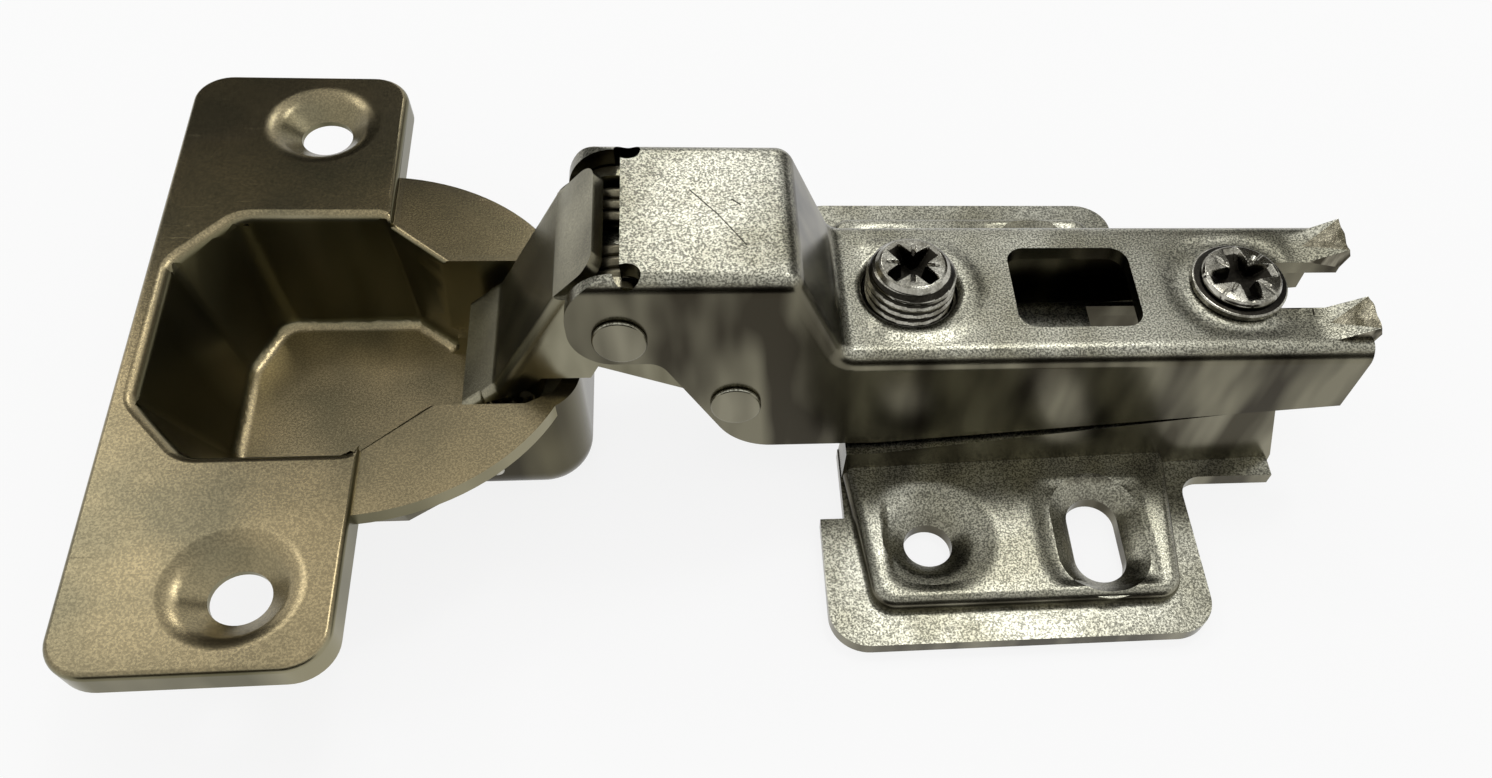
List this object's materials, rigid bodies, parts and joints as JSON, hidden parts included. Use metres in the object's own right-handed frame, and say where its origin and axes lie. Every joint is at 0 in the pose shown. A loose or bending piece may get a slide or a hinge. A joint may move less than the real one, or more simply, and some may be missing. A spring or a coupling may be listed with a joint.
{
  "type": "concealed cup hinge",
  "caption": "Concealed cabinet hinge with drawn cup, sprung links, cranked slotted arm and winged mounting plate, shown fully open.",
  "frame": {"origin": "on the underside of the mounting plate, midway between its two round screw holes", "axes": "+X along the arm away from the cup, +Y across the hinge to the left of +X, +Z out of the cup's mouth and away from the side panel"},
  "size_m": [0.1003, 0.0612, 0.0231],
  "materials": {
    "plate_steel": "pressed steel with a satin nickel plating",
    "arm_steel": "pressed steel with a satin nickel plating, glossier on its bends",
    "link_steel": "pressed steel with a satin nickel plating",
    "cup_steel": "drawn steel with a satin nickel plating",
    "rivet_steel": "nickel plated wire and rivets",
    "spring_steel": "dark oiled spring wire",
    "screw_steel": "bright zinc plated screws"
  },
  "bodies": {
    "plate": {"mounting_plate": "plate_steel"},
    "arm": {"hinge_arm": "arm_steel", "front_rivet": "rivet_steel", "rear_rivet": "rivet_steel", "front_bush": "rivet_steel", "closing_spring": "spring_steel"},
    "fixing": {"fixing_screw": "screw_steel"},
    "overlay": {"overlay_screw": "screw_steel"},
    "outer": {"outer_link": "link_steel"},
    "inner": {"inner_link": "link_steel"},
    "cup": {"hinge_cup": "cup_steel", "outer_cup_pin": "rivet_steel", "inner_cup_pin": "rivet_steel"}
  },
  "joints": [
    {"name": "arm_slide", "type": "slide", "parent": "plate", "child": "arm", "axis": [1, 0, 0], "range_m": [-0.0028, 0]},
    {"name": "fixing_screw_turn", "type": "hinge", "parent": "plate", "child": "fixing", "pos_m": [0.0264, 0, 0.01], "axis": [0, 0, 1], "range_deg": [-180, 180]},
    {"name": "overlay_screw_turn", "type": "hinge", "parent": "arm", "child": "overlay", "pos_m": [-0.00165, 0, 0.0125], "axis": [0, 0, 1], "range_deg": [-180, 180]},
    {"name": "outer_link_swing", "type": "hinge", "parent": "arm", "child": "outer", "pos_m": [-0.0246, 0, 0.0178], "axis": [0, 1, 0], "range_deg": [0, 6.3]},
    {"name": "inner_link_swing", "type": "hinge", "parent": "arm", "child": "inner", "pos_m": [-0.0161, 0, 0.0103], "axis": [0, 1, 0], "range_deg": [-12.51, 0]},
    {"name": "cup_turn", "type": "hinge", "parent": "outer", "child": "cup", "pos_m": [-0.0361, 0, 0.0043], "axis": [0, 1, 0], "range_deg": [0, 83.7]}
  ],
  "couplings": [
    {"joint": "outer_link_swing", "follows": "cup_turn", "ratio": 0.075269},
    {"joint": "inner_link_swing", "follows": "cup_turn", "ratio": -0.14946}
  ]
}
